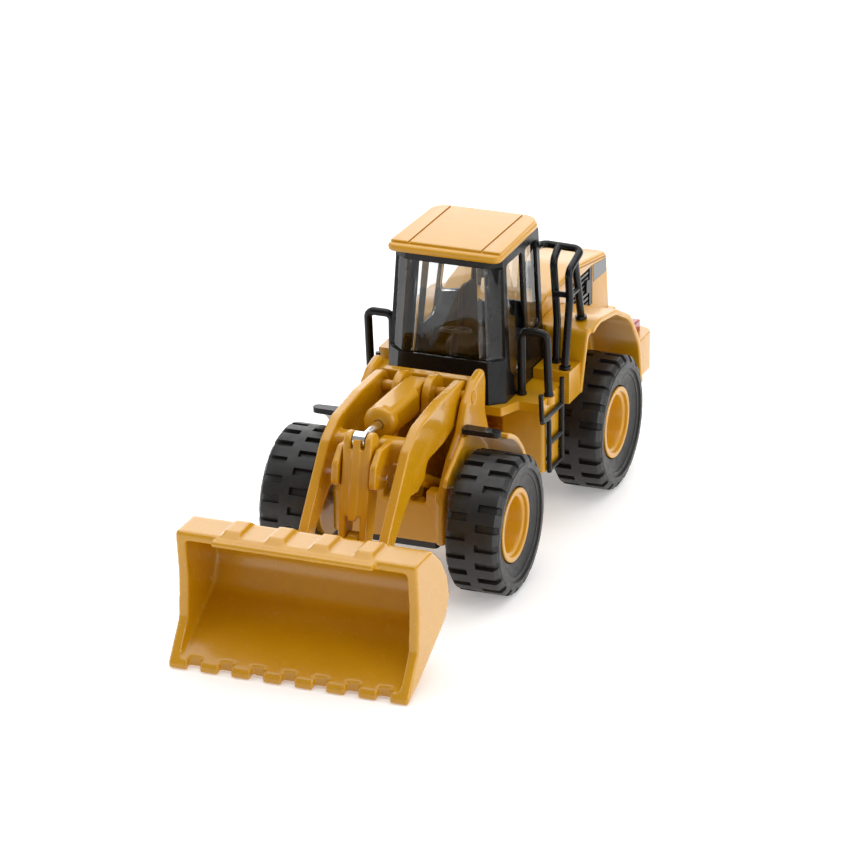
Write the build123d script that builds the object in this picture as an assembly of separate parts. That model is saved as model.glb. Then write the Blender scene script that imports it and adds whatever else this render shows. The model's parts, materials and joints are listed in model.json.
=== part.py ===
"""Toy front loader, about 1:64, built as separate die-cast, moulded and turned pieces.

Millimetres. While it is drawn, Y runs rearward from the front axle, X to the machine's left,
Z up from the floor; every piece is then shifted so that the origin is at the bottom centre.
"""

import os
from math import cos, radians, sin, tan

from build123d import *

# ---- driving dimensions -------------------------------------------------------------------
MIDDLE_Y = 15.5           # middle of the whole length, seen from the front axle
WHEELBASE = 52.3
TYRE_R = 12.5
TYRE_HALF_WIDTH = 5.0
WHEEL_X = 17.5            # middle of each tyre
RIM_R = 6.6               # seat of the tyre on its hub
AXLE_R = 1.0
RUNNING = 0.05            # radial clearance of a turning shaft

HITCH = (0.0, 26.15)      # articulation pin, x and y
ARM_PIVOT = (8.0, 32.0)   # y, z
LEVER_PIVOT = (-18.5, 27.0)
ROD_EYE = (-18.3, 32.2)
LEVER_FOOT = (-21.5, 14.8)
BUCKET_LUG = (-30.3, 14.6)
BUCKET_PIVOT = (-29.2, 9.8)
LIFT_BASE = (5.0, 15.5)
LIFT_EYE = (-10.5, 23.9)

ARM_IN, ARM_OUT = 6.5, 8.3          # inner and outer face of each arm
TOWER_IN, TOWER_OUT = 8.7, 10.5     # outer plates of the front frame
EAR_IN, EAR_OUT = 2.1, 3.6          # inner plates of the front frame
LIFT_X = 5.05                       # middle of each lift cylinder
PIN_R = 0.7
LIFT_EYE_SLACK = 0.7                # room round the lift pins, for the opened pivot

BUCKET_HALF = 21.85
BUCKET_WALL = 1.8
TOOTH_COUNT = 8

HOOD_HALF = 10.0
FENDER_OUT = {"left": 20.3, "right": 18.3}
HOOD_TOP_Z = 38.15        # just over the hood where the stacks stand
GRILLE_Y = (59.4, 70.1)
GRILLE_Z = (28.0, 35.6)
GRILLE_DEPTH = 0.8
CAB_BASE_Z = 26.0
LADDER_TOP_Z = {"left": 28.2, "right": 24.0}
ROOF_Z = 52.5
TOP_Z = 54.3
ROOF_STEP = 0.4           # drop from the roof panel to the strip along its front
REAR_END = 83.0


# ---- drawing helpers ----------------------------------------------------------------------
def face(plane, corners):
    """A flat face through (a, b) or (a, b, corner radius) corners on the plane."""
    points = [Vector(corner[0], corner[1]) for corner in corners]
    radii = [corner[2] if len(corner) > 2 else 0 for corner in corners]
    count = len(points)
    starts, middles, ends = [], [], []
    for i, here in enumerate(points):
        if not radii[i]:
            starts.append(here)
            middles.append(here)
            ends.append(here)
            continue
        back = (points[i - 1] - here).normalized()
        ahead = (points[(i + 1) % count] - here).normalized()
        half_angle = radians(back.get_angle(ahead)) / 2
        reach = radii[i] / tan(half_angle)
        to_middle = (back + ahead).normalized()
        starts.append(here + back * reach)
        middles.append(here + to_middle * (radii[i] / sin(half_angle) - radii[i]))
        ends.append(here + ahead * reach)
    edges = []
    for i in range(count):
        if radii[i]:
            edges.append(ThreePointArc(starts[i], middles[i], ends[i]))
        following = (i + 1) % count
        run = starts[following] - ends[i]
        if run.dot(points[following] - points[i]) < -1e-6:
            raise ValueError(f"roundings overlap between {corners[i]} and {corners[following]}")
        if run.length > 1e-4:
            edges.append(Line(ends[i], starts[following]))
    return plane * make_face(edges)


def side(corners, x0, x1):
    """A plate whose outline is given in (y, z), from x0 to x1."""
    return extrude(face(Plane.YZ.offset(x0), corners), x1 - x0)


def front(corners, y0, y1):
    """A plate whose outline is given in (x, z), from y0 to y1."""
    plane = Plane(origin=(0, y1, 0), x_dir=(1, 0, 0), z_dir=(0, -1, 0))
    return extrude(face(plane, corners), y1 - y0)


def plan(corners, z0, z1):
    """A plate whose outline is given in (x, y), from z0 to z1."""
    return extrude(face(Plane.XY.offset(z0), corners), z1 - z0)


def block(x0, x1, y0, y1, z0, z1):
    return Pos((x0 + x1) / 2, (y0 + y1) / 2, (z0 + z1) / 2) * Box(x1 - x0, y1 - y0, z1 - z0)


def cross_rod(centre, radius, x0, x1):
    """A round bar along X; centre is (y, z)."""
    return Pos((x0 + x1) / 2, *centre) * Rot(0, 90, 0) * Cylinder(radius, x1 - x0)


def upright(x, y, radius, z0, z1):
    return Pos(x, y, (z0 + z1) / 2) * Cylinder(radius, z1 - z0)


def bar_between(start, end, radius, x):
    """A round bar in the plane at x, from start to end, both (y, z)."""
    run = Vector(0, end[0] - start[0], end[1] - start[1])
    plane = Plane(origin=(x, start[0], start[1]), z_dir=run)
    return extrude(plane * Circle(radius), run.length)


def along(start, end, distance):
    """The (y, z) point at a distance from start towards end."""
    run = Vector(end[0] - start[0], end[1] - start[1]).normalized()
    return (start[0] + run.X * distance, start[1] + run.Y * distance)


def bent_rod(points, radius, bend):
    """A round rod along straight runs that are joined by bends."""
    path = FilletPolyline(*points, radius=bend)
    return sweep(Plane(origin=path @ 0, z_dir=path % 0) * Circle(radius), path=path)


def ring(centre, outer, inner, x0, x1):
    return cross_rod(centre, outer, x0, x1) - cross_rod(centre, inner, x0 - 1, x1 + 1)


def mirrored(shape):
    return mirror(shape, about=Plane.YZ)


def both(shape):
    return shape + mirrored(shape)


def on_side(word, shape):
    """The left-hand shape itself, or its mirror image for the right-hand side."""
    return mirrored(shape) if word == "right" else shape


def pieces(*shapes):
    """Several separate solids kept together as one node."""
    return Compound(children=[solid for shape in shapes for solid in shape.solids()])


def softened(shape, radius, pick=None):
    """The shape with its edges rounded; pick chooses which."""
    edges = shape.edges() if pick is None else pick(shape.edges())
    return fillet(edges, radius)


# ---- wheels -------------------------------------------------------------------------------
def turned(profile, centre_y):
    """A body of revolution about a wheel axis; profile is (x, radius)."""
    outline = face(Plane.XY, profile)
    return Pos(0, centre_y, TYRE_R) * revolve(outline, Axis.X)


def tyre(y):
    x0, x1 = WHEEL_X - TYRE_HALF_WIDTH, WHEEL_X + TYRE_HALF_WIDTH
    shoulder = 1.6
    return turned([(x0, RIM_R), (x0 + 0.5, RIM_R), (x1 - 0.9, RIM_R), (x1 - 0.5, 7.0),
                   (x1, 9.6, 1.5), (x1 - 0.3, TYRE_R, shoulder),
                   (x0 + 0.3, TYRE_R, shoulder), (x0, 9.6, 1.5)], y)


def hub(y):
    """A dished hub that is pressed on the axle end."""
    inner = WHEEL_X - TYRE_HALF_WIDTH + 0.4
    return turned([(inner, AXLE_R), (18.6, AXLE_R), (18.6, 0), (20.2, 0), (20.2, 1.9, 0.4),
                   (19.0, 2.2), (19.0, 4.0), (20.3, 4.6), (20.3, 5.3), (21.5, 5.5, 0.2),
                   (21.5, RIM_R, 0.2), (inner, RIM_R)], y)


def axle(y):
    return cross_rod((y, TYRE_R), AXLE_R, -18.6, 18.6)


# ---- bucket -------------------------------------------------------------------------------
def bucket_shell():
    outer = side([(-40.6, 23.7, 1.2), (-36.3, 20.4, 3), (-33.5, 16.5, 3), (-32.5, 12.4, 2.2),
                  (-34.3, 8.8, 2.5), (-46.9, 1.9, 2), (-51.5, 0), (-52, 0.3), (-51.8, 1.3),
                  (-49.9, 4.0, 1), (-47.4, 7.6, 2.5), (-46.9, 15, 8), (-48.0, 23.6, 0.6)],
                 -BUCKET_HALF, BUCKET_HALF)
    inner = BUCKET_HALF - BUCKET_WALL
    cavity = side([(-56, -0.6), (-36.9, 9.5, 4.2), (-34.7, 14.6, 5), (-38.4, 21.9, 4.6),
                   (-56, 22.1)], -inner, inner)
    guard = side([(-46.5, 23.65, 0.2), (-49.5, 23.2, 0.35), (-49.3, 22.2, 0.35),
                  (-46.5, 22.3)], -14.6, 14.6)
    return outer - cavity + guard


def bucket_teeth_gaps():
    """The gaps between the rounded teeth along the cutting edge."""
    pitch = 2 * BUCKET_HALF / (TOOTH_COUNT - 0.42)
    gap = pitch * 0.42
    first = -BUCKET_HALF + (pitch - gap)
    return [block(first + i * pitch, first + i * pitch + gap, -53, -50.4, -1, 4)
            for i in range(TOOTH_COUNT - 1)]


def bucket_rib(x):
    """A raised rib across the top lip."""
    return side([(-40.2, 22.6), (-40.2, 23.6, 0.3), (-41.6, 24.5, 0.5), (-46.2, 24.3, 0.5),
                 (-47.9, 23.4), (-47.0, 22.8)], x - 1.5, x + 1.5)


def lug(pivot, roots, radius, x0, x1):
    """A plate from the bucket's back out to an eye round the pivot."""
    arm = side([roots[0], (pivot[0], pivot[1] + radius), (pivot[0], pivot[1] - radius),
                roots[1]], x0, x1)
    return arm + cross_rod(pivot, radius, x0, x1)


def bucket():
    shape = bucket_shell() - bucket_teeth_gaps()
    for x in (-12, -4, 4, 12):
        shape += bucket_rib(x)
    hinge = lug(BUCKET_PIVOT, ((-32.9, 13.6), (-33.9, 9.2)), 2.0, 4.9, 6.3)
    hinge -= cross_rod(BUCKET_PIVOT, PIN_R + RUNNING, 4, 7)
    tilt = lug(BUCKET_LUG, ((-33.9, 16.9), (-33.0, 12.9)), 2.2, 1.35, 2.6)
    return shape + both(hinge) + both(tilt)


# ---- lift arms, lever and link --------------------------------------------------------------
def arm_plate():
    return side([(10.6, 34.6, 2.5), (5.4, 34.6, 3), (-2.1, 34.5, 9), (-12.4, 33.3, 5),
                 (-16.8, 30.8, 4), (-26.6, 18.4, 9), (-31.5, 9.8, 1.8), (-29.6, 7.4, 1.7),
                 (-26.8, 9.6, 2), (-23.6, 16.4, 5), (-16.5, 22.2, 1.5), (-13.0, 21.7, 0.8),
                 (-9.6, 23.0, 0.8), (-8.6, 25.7, 2), (-0.3, 26.2, 8), (6.5, 28.0, 4),
                 (10.4, 30.0, 2)], ARM_IN, ARM_OUT)


def lift_arms():
    plate = arm_plate()
    plate -= cross_rod(ARM_PIVOT, PIN_R + 0.3 + RUNNING, 6, 9)
    plate -= cross_rod(BUCKET_PIVOT, PIN_R, 6, 9)
    plate -= cross_rod(LIFT_EYE, 0.6, 6, 7.6)
    box = side([(-14.6, 31.0, 1.3), (-10.9, 31.0, 1), (-10.9, 26.5, 1), (-14.6, 26.5, 1)],
               -ARM_IN - 0.2, ARM_IN + 0.2)
    saddle = bar_between((-8, 32.1), (-18, 32.1), 1.9, 0)
    bracket = side([(-13.6, 30.9), (-19.2, 31.2, 1.5), (-21.9, 28.8, 1.2), (-22.6, 25.0, 1.0),
                    (-18.4, 23.6, 1.5), (-13.6, 27.0)], 2.9, 4.1)
    bracket -= cross_rod(LEVER_PIVOT, PIN_R, 2, 5)
    return both(plate) + (box - saddle) + both(bracket)


def bellcrank():
    """Tilt lever: two cheeks, joined by a front web and a hub round its pivot."""
    cheek = side([(-16.5, 33.6, 1.6), (-20.0, 33.8, 1.6), (-21.3, 27.2, 4), (-23.6, 14.6, 1.9),
                  (-21.4, 12.9, 1.7), (-19.4, 14.8, 1.7), (-16.3, 25.9, 3), (-16.4, 29.5, 2)],
                 1.3, 2.6)
    web = side([(-20.4, 31.6, 0.4), (-21.3, 27.0, 3), (-22.9, 19.6, 0.4), (-21.2, 19.6, 0.4),
                (-17.6, 25.6, 1.2), (-17.6, 28.6, 1.2), (-18.6, 29.6, 0.5)], -1.35, 1.35)
    rib = side([(-20.4, 33.0, 0.4), (-21.6, 27.0, 3), (-23.4, 19.0, 0.3), (-22.4, 19.0),
                (-20.2, 27.0), (-19.6, 33.0, 0.3)], -0.7, 0.7)
    shape = both(softened(cheek, 0.4)) + web + (rib - cross_rod(ROD_EYE, 1.95, -1, 1))
    hub_barrel = cross_rod(LEVER_PIVOT, 1.9, -2.6, 2.6)
    shape += hub_barrel
    shape -= cross_rod(LEVER_PIVOT, PIN_R + RUNNING, -3, 3)
    return shape - cross_rod(LEVER_FOOT, PIN_R, -3, 3)


def tilt_link():
    """Short link between the lever's foot and the bucket's upper lug."""
    bar = side([(LEVER_FOOT[0], LEVER_FOOT[1] + 1.1), (BUCKET_LUG[0], BUCKET_LUG[1] + 1.1),
                (BUCKET_LUG[0], BUCKET_LUG[1] - 1.1), (LEVER_FOOT[0], LEVER_FOOT[1] - 1.1)],
               -1.15, 1.15)
    bar += cross_rod(LEVER_FOOT, 1.6, -1.15, 1.15)
    bar += cross_rod(BUCKET_LUG, 1.6, -1.15, 1.15)
    bar -= cross_rod(LEVER_FOOT, PIN_R + RUNNING, -2, 2)
    return bar - cross_rod(BUCKET_LUG, PIN_R, -2, 2)


# ---- cylinders ------------------------------------------------------------------------------
def tilt_barrel():
    """Barrel of rounded square section with a round collar where the rod comes out."""
    end = along(ARM_PIVOT, ROD_EYE, 18.6)
    start = along(ARM_PIVOT, end, 1.2)
    run = Vector(0, end[0] - start[0], end[1] - start[1])
    plane = Plane(origin=(0, *start), x_dir=(1, 0, 0), z_dir=run)
    shape = cross_rod(ARM_PIVOT, 2.2, -1.9, 1.9)
    shape += extrude(plane * RectangleRounded(5.2, 5.0, 1.2), run.length - 0.6) \
        - block(1.9, 4, 2, 12, 28, 36) - block(-4, -1.9, 2, 12, 28, 36)
    collar = bar_between(along(end, ARM_PIVOT, 2.8), end, 3.0, 0)
    shape += softened(collar, 0.9)
    bore_start = along(ARM_PIVOT, end, 3.6)
    shape -= bar_between(bore_start, along(ARM_PIVOT, end, 20), 0.9, 0)
    return shape - cross_rod(ARM_PIVOT, PIN_R + 0.3 + RUNNING, -3, 3)


def tilt_rod():
    start = along(ARM_PIVOT, ROD_EYE, 10.5)
    rod = bar_between(start, along(ARM_PIVOT, ROD_EYE, 25.2), 0.85, 0)
    eye = cross_rod(ROD_EYE, 1.5, -1.1, 1.1)
    return rod + eye - cross_rod(ROD_EYE, PIN_R, -2, 2)


def lift_barrel(x):
    end = along(LIFT_BASE, LIFT_EYE, 15.2)
    shape = bar_between(along(LIFT_BASE, LIFT_EYE, 0.8), end, 1.25, x)
    shape += cross_rod(LIFT_BASE, 1.4, x - 1.25, x + 1.25)
    bore = bar_between(along(LIFT_BASE, LIFT_EYE, 1.9), along(LIFT_BASE, LIFT_EYE, 17), 0.85, x)
    return shape - bore - cross_rod(LIFT_BASE, PIN_R + RUNNING, x - 3, x + 3)


def lift_rod(x):
    """Rod of a lift cylinder, with an oversize eye at the opened pivot."""
    rod = bar_between(along(LIFT_BASE, LIFT_EYE, 2.1), along(LIFT_BASE, LIFT_EYE, 16.1), 0.8, x)
    eye = ring(LIFT_EYE, 2.0, 0.6 + LIFT_EYE_SLACK, x - 1.15, x + 1.25)
    return rod - cross_rod(LIFT_EYE, 1.8, x - 2, x + 2) + eye


def lift_rod_pin(x0, x1, head_x0):
    """Pin pressed in the arm, whose head covers the rod's eye."""
    return cross_rod(LIFT_EYE, 0.6, x0, x1) + cross_rod(LIFT_EYE, 1.5, head_x0, x0)


# ---- front frame ----------------------------------------------------------------------------
def front_chassis():
    outer = side([(-6.5, 9.0, 1), (-6.5, 17.5, 1.5), (-1.5, 24.0, 2), (2.6, 26.9, 1.5),
                  (5.2, 31.6, 2.5), (9.0, 34.6, 2.5), (13.4, 35.6, 1.0), (14.2, 33.0, 3),
                  (13.9, 27.6, 2.5), (16.4, 22.0, 2), (16.4, 9.0, 1)], TOWER_IN, TOWER_OUT)
    outer = softened(outer, 0.7) - cross_rod(ARM_PIVOT, PIN_R + 0.3, 8, 11)
    outer -= cross_rod(LIFT_BASE, PIN_R, 8, 10)
    ear = side([(-1.0, 9.0), (2.5, 20.0, 3), (3.6, 27.0, 3), (3.9, 35.2, 3.3),
                (10.6, 35.2, 3.3), (12.4, 27.0), (12.4, 9.0)], EAR_IN, EAR_OUT)
    ear -= cross_rod(ARM_PIVOT, PIN_R + 0.3, 1, 4)
    ear -= cross_rod(LIFT_BASE, PIN_R, 1, 4)
    shape = both(outer) + both(ear)
    shape += block(-TOWER_IN - 0.3, TOWER_IN + 0.3, 12.0, 14.0, 9.0, 33.4)
    shape += block(-TOWER_IN - 0.3, TOWER_IN + 0.3, -5.0, 13.0, 9.0, 10.6)
    nose = block(-TOWER_IN - 0.3, TOWER_IN + 0.3, -5.0, -2.4, 9.0, 18.6)
    for x in (-LIFT_X, 0, LIFT_X):
        nose -= block(x - 1.5, x + 1.5, -6, -1, 16.4, 20)
    shape += nose
    shape += cross_rod((0, TYRE_R), 2.3, -11.6, 11.6)
    for z0, z1 in ((9.0, 12.0), (17.4, 20.4)):
        shape += plan([(-7.5, 14.0), (7.5, 14.0), (3.2, 29.6, 2.6), (-3.2, 29.6, 2.6)], z0, z1)
        shape -= upright(*HITCH, 1.5 + RUNNING, z0 - 1, z1 + 1)
    shape -= cross_rod((0, TYRE_R), AXLE_R + RUNNING, -13, 13)
    return shape


def front_base_plate():
    plate = plan([(-8.5, -4.5, 1), (8.5, -4.5, 1), (8.5, 12.0, 1), (-8.5, 12.0, 1)], 7.6, 9.0)
    for y in (-2.6, 10.0):
        plate -= upright(0, y, 1.1, 7.6, 8.4)
    return softened(plate, 0.3, lambda edges: edges.group_by(Axis.Z)[0])


def screws(places, z0, head_r=1.05):
    """Countersunk-style cover screws, sunk in the base plates; places are (x, y)."""
    made = []
    for x, y in places:
        screw = upright(x, y, head_r, z0, z0 + 0.8)
        made.append(screw - block(x - 0.9, x + 0.9, y - 0.2, y + 0.2, z0 - 1, z0 + 0.4)
                    - block(x - 0.2, x + 0.2, y - 0.9, y + 0.9, z0 - 1, z0 + 0.4))
    return pieces(*made)


def arc_band(inner, outer, start, end, centre, x0, x1):
    """Part of a ring about a wheel axis, between two angles from +Y."""
    reach = outer * 2
    wedge = [(centre[0], centre[1])]
    for angle in (start, (start + end) / 2, end):
        wedge.append((centre[0] + reach * cos(radians(angle)),
                      centre[1] + reach * sin(radians(angle))))
    return ring(centre, outer, inner, x0, x1) & side(wedge, x0, x1)


def front_fender():
    """Quarter-round mudguard with its inner web, left side."""
    shell = arc_band(14.7, 15.7, 27, 74, (0, TYRE_R), TOWER_OUT, 18.3)
    web = side([(-7.4, 20.6, 0.6), (-7.4, 22.2, 0.6), (1.2, 27.0, 0.5), (4.4, 27.2),
                (9.6, 23.9), (13.4, 18.9), (13.4, 15.5, 0.5), (2.0, 18.0, 2)],
               TOWER_OUT, TOWER_OUT + 1.0)
    return shell + web


def light_bar():
    """Black flat bracket across the front of a mudguard, left side."""
    bar = plan([(10.6, 1.3, 0.5), (17.2, 1.4, 1.2), (18.3, 3.4, 1.0), (10.6, 3.9, 0.5)],
               27.5, 28.5)
    return bar - arc_band(14, 15.75, 20, 80, (0, TYRE_R), 9, 19)


# ---- rear frame -----------------------------------------------------------------------------
def rear_chassis():
    shape = block(-9.0, 9.0, 32.0, 74.0, 9.0, 24.0)
    tongue = plan([(-3.0, 23.4, 2.4), (3.0, 23.4, 2.4), (6.5, 33.0), (-6.5, 33.0)], 12.2, 17.2)
    shape += tongue
    shape += cross_rod((WHEELBASE, TYRE_R), 2.4, -11.6, 11.6)
    shape -= cross_rod((WHEELBASE, TYRE_R), AXLE_R + RUNNING, -13, 13)
    return shape - upright(*HITCH, 1.5, 8, 22)


def rear_base_plate():
    plate = plan([(-8.6, 33.0, 1.2), (8.6, 33.0, 1.2), (8.6, 73.0, 1.2), (-8.6, 73.0, 1.2)],
                 7.0, 9.0)
    plate -= upright(0, 37.0, 1.1, 7.0, 7.8)
    plate -= upright(0, 68.0, 1.1, 7.0, 7.8)
    return softened(plate, 0.4, lambda edges: edges.group_by(Axis.Z)[0])


def engine_hood():
    """Engine cover with sloping rear, recesses for its grilles."""
    body = side([(41.4, 24.0), (41.4, 36.4, 1.0), (46.0, 38.0, 4), (62.0, 38.4, 20),
                 (78.1, 35.9, 2.0), (79.8, 24.0)], -HOOD_HALF, HOOD_HALF)
    long_edges = [edge for edge in body.edges()
                  if abs(edge.center().Z) > 30 and abs(edge.center().X) > HOOD_HALF - 0.1]
    body = fillet(long_edges, 0.8)
    body -= both(block(HOOD_HALF - GRILLE_DEPTH, HOOD_HALF + 1, *GRILLE_Y, *GRILLE_Z))
    groove = side([(47.0, 37.3), (62.0, 37.55), (77.2, 35.15), (77.2, 34.97), (62.0, 37.37),
                   (47.0, 37.12)], HOOD_HALF - 0.3, HOOD_HALF + 1)
    return body - both(groove) - block(-7.6, 7.6, 77.3, 84, 25.2, 33.0)


def grille():
    """Black louvred side grille with its latch, seated in the hood's recess, left side."""
    x0, x1 = HOOD_HALF - GRILLE_DEPTH, HOOD_HALF - 0.05
    y0, y1 = GRILLE_Y
    z0, z1 = GRILLE_Z
    plate = block(x0, x1 - 0.35, y0, y1, z0, z1) + block(x0, x1, y1 - 1.4, y1, z0, z1)
    for i in range(7):
        z = z0 + 0.6 + i * 1.0
        plate += block(x0, x1, y0 + 0.6, y1 - 2.2, z, z + 0.5)
    latch = side([(66.2, 33.9, 0.5), (68.2, 33.4, 0.7), (69.9, 32.2, 0.7), (68.0, 31.0, 0.5),
                  (66.2, 31.2, 0.5)], x1 - 0.4, x1 + 0.35)
    return plate + latch


def radiator_grille():
    """Rear grille, seated in the back of the hood."""
    plate = block(-7.6, 7.6, 77.3, 78.3, 25.2, 33.0)
    for i in range(9):
        x = -6.8 + i * 1.62
        plate += block(x, x + 0.7, 78.3, 78.8, 25.7, 32.5)
    return plate


def counterweight():
    shape = plan([(-18.3, 73.0, 0.8), (-18.3, 80.4, 2.2), (-12.0, REAR_END, 3),
                  (12.0, REAR_END, 3), (18.3, 80.4, 2.2), (18.3, 73.0, 0.8), (9.0, 73.0),
                  (9.0, 74.0), (-9.0, 74.0), (-9.0, 73.0)], 13.0, 20.5)
    shape += block(-11.0, 11.0, 74.0, 80.6, 9.6, 24.0)
    return shape - block(-3.0, 3.0, 80.0, 84, 15.4, 17.2)


def tail_lamp():
    lamp = block(13.6, 16.2, 76.6, 79.4, 20.5, 22.6)
    return softened(lamp, 0.3, lambda edges: edges.group_by(Axis.Z)[-1])


def rear_fender(out):
    """Thin wheel-arch cover from the hood's side out over the tyre, left side."""
    outer = [(40.6, 14.0), (40.6, 33.9, 1.5), (46.0, 34.9, 8), (55.0, 33.5, 8),
             (63.0, 29.6, 9), (68.3, 22.6, 9), (70.0, 14.0)]
    inner = [(41.6, 13.0), (41.6, 32.8, 1.0), (46.0, 33.8, 7), (54.8, 32.4, 7),
             (62.2, 28.8, 8), (67.2, 22.2, 8), (69.0, 13.0)]
    shell = side(outer, HOOD_HALF, out) - side(inner, HOOD_HALF - 1, 21.8)
    shell += side(outer, HOOD_HALF, HOOD_HALF + 0.9)
    shell -= cross_rod((WHEELBASE, TYRE_R), 14.4, 9, 22)
    shell -= block(9, 22, 40, 50, 10, 22)
    shell -= front([(out - 1.8, 21), (out - 0.5, 34), (22, 36), (22, 21)], 40, 42.4)
    return shell - block(9, 11.5, 40, 41.4, 20, 40)


def cab_deck():
    """Platform under the cab with the side tanks and the rear steps."""
    deck = plan([(-11.4, 19.0, 0.5), (11.4, 19.0, 0.5), (13.0, 23.2, 0.6), (17.2, 23.2, 0.6),
                 (17.2, 33.6), (-17.2, 33.6), (-17.2, 23.2, 0.6), (-13.0, 23.2, 0.6)],
                24.4, CAB_BASE_Z)
    tank = plan([(9.0, 25.4, 0.5), (17.2, 25.4, 0.8), (17.2, 33.4, 0.8), (9.0, 33.4)],
                12.0, 24.4)
    step = block(9.0, 18.4, 34.8, 40.6, 22.0, CAB_BASE_Z)
    step += block(11.5, 18.4, 34.8, 40.6, CAB_BASE_Z - 1, 28.0)
    centre = block(-17.2, 17.2, 33.6, 34.8, 24.4, CAB_BASE_Z)
    centre += block(-9.0, 9.0, 34.8, 41.4, 24.0, CAB_BASE_Z)
    boss = upright(17.1, 27.8, 1.1, 24.6, CAB_BASE_Z)
    return deck + both(tank) + both(step) + centre + both(boss)


def ladder(top):
    """Two-rail access ladder on the side of the tank, left side; top is its front rail's."""
    x, thick = 17.75, 0.45
    rails = bent_rod([(x, 22.0, top), (x, 22.7, 22.8), (x, 26.2, 22.4), (x, 26.6, 11.9)],
                     thick, 0.8)
    rails += bar_between((32.8, 27.8), (33.0, 11.9), thick, x)
    for y0, y1, z in ((22.7, 32.9, 22.8), (26.4, 32.9, 17.4), (26.6, 32.9, 12.3)):
        rails += bar_between((y0, z), (y1, z), thick, x)
    for y in (26.5, 32.9):
        rails += cross_rod((y, 14.4), 0.4, 17.2, x)
    return rails


def grab_hoop():
    """Inverted U handrail on the deck, left side; its outer leg leans back to its foot."""
    inner, outer, top = (12.35, 26.8), (17.1, 27.8), 38.1
    foot_top = CAB_BASE_Z + 0.5
    rod = bent_rod([(*inner, foot_top), (inner[0], 26.6, top), (outer[0], 26.6, top),
                    (*outer, foot_top - 0.3)], 0.75, 1.3)
    for x, y in (inner, outer):
        rod += upright(x, y, 0.9, CAB_BASE_Z, foot_top)
    return rod - block(10, 20, 20, 30, CAB_BASE_Z - 3, CAB_BASE_Z)


def guard_rail():
    """Bent guard rail over the rear step and the wheel arch, to the cab's back."""
    r = 0.7
    rail = bent_rod([(17.0, 36.4, 28.5), (17.0, 38.6, 40.4), (17.0, 38.0, 46.0),
                     (17.0, 44.8, 48.0), (9.3, 44.8, 48.2), (9.3, 41.0, 48.2)], r, 1.6)
    rail += bent_rod([(17.0, 44.7, 35.2), (17.0, 43.0, 41.0), (17.0, 41.2, 46.94)], r, 3)
    rail += bent_rod([(12.6, 44.8, 48.13), (13.0, 41.0, 46.6), (14.3, 39.6, 36.0),
                      (14.3, 39.2, 28.2)], r, 2)
    rail += bar_between((38.4, 41.2), (42.9, 41.2), 0.55, 17.0)
    rail += cross_rod((38.9, 41.2), 0.55, 13.9, 17.0)
    rail += upright(17.0, 36.4, 1.05, 28.0, 28.6)
    rail += upright(14.3, 39.2, 1.0, 28.0, 28.6)
    return rail + upright(17.0, 44.7, 1.05, 34.82, 35.4)


# ---- cab ------------------------------------------------------------------------------------
def cab_ring(z, half_front, half_side, y_front, y_chamfer, y_rear):
    """The cab's eight-sided level outline at a height, as (x, y) corners."""
    return [(-half_front, y_front), (half_front, y_front), (half_side, y_chamfer),
            (half_side, y_rear), (-half_side, y_rear), (-half_side, y_chamfer)], z


def cab_solid(inset):
    """The cab's tapering body between its base and its roof, drawn in by an inset."""
    low, low_z = cab_ring(CAB_BASE_Z, 8.9 - inset, 11.4 - inset, 19.3 + inset, 21.6 + inset,
                          41.0 - inset)
    high, high_z = cab_ring(ROOF_Z, 7.5 - inset, 10.1 - inset, 21.0 + inset, 23.0 + inset,
                            41.0 - inset)
    return loft([face(Plane.XY.offset(low_z), low), face(Plane.XY.offset(high_z), high)])


def cab_frame():
    """Black cab tub with its pillars and window frames."""
    shape = cab_solid(0) - cab_solid(1.5)
    shape += cab_solid(0) & block(-20, 20, 10, 50, CAB_BASE_Z, CAB_BASE_Z + 1.6)
    front_opening = side([(10.0, 33.9), (22.2, 33.9, 0.6), (23.1, 51.0, 0.5), (10.0, 51.0)],
                         -15, 15)
    door = side([(24.2, 30.4, 2.5), (32.4, 28.0, 3), (32.4, 50.8, 0.8), (24.6, 50.8, 0.8)],
                5, 20)
    quarter = side([(33.8, 34.6, 1.2), (39.6, 34.6, 1.2), (39.6, 50.8, 0.8),
                    (33.8, 50.8, 0.8)], 5, 20)
    back = front([(-8.6, 38.4, 1), (8.6, 38.4, 1), (8.2, 50.6, 1), (-8.2, 50.6, 1)], 36, 50)
    return shape - front_opening - both(door) - both(quarter) - back


def cab_glazing(frame):
    """One clear moulding that lies inside the cab's frame and fills its windows."""
    shell = cab_solid(0.35) - cab_solid(2.2)
    shell &= block(-20, 20, 10, 50, CAB_BASE_Z + 1.6, ROOF_Z)
    return shell - frame


def cab_roof():
    """Roof shell: a panel with two long grooves behind a lower front strip."""
    slab = plan([(-10.8, 19.6, 1.6), (10.8, 19.6, 1.6), (10.3, 42.4, 3.2),
                 (-10.3, 42.4, 3.2)], ROOF_Z, TOP_Z - ROOF_STEP)
    panel = plan([(-10.5, 21.1, 0.5), (10.5, 21.1, 0.5), (10.0, 42.15, 3.0),
                  (-10.0, 42.15, 3.0)], TOP_Z - 1.2, TOP_Z)
    slab = softened(slab, 0.6) + softened(panel, 0.3, lambda edges: edges.group_by(Axis.Z)[-1])
    for x in (-6.9, 6.9):
        slab -= block(x - 0.2, x + 0.2, 20.6, 44, TOP_Z - 0.3, TOP_Z + 1)
    return slab


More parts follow.
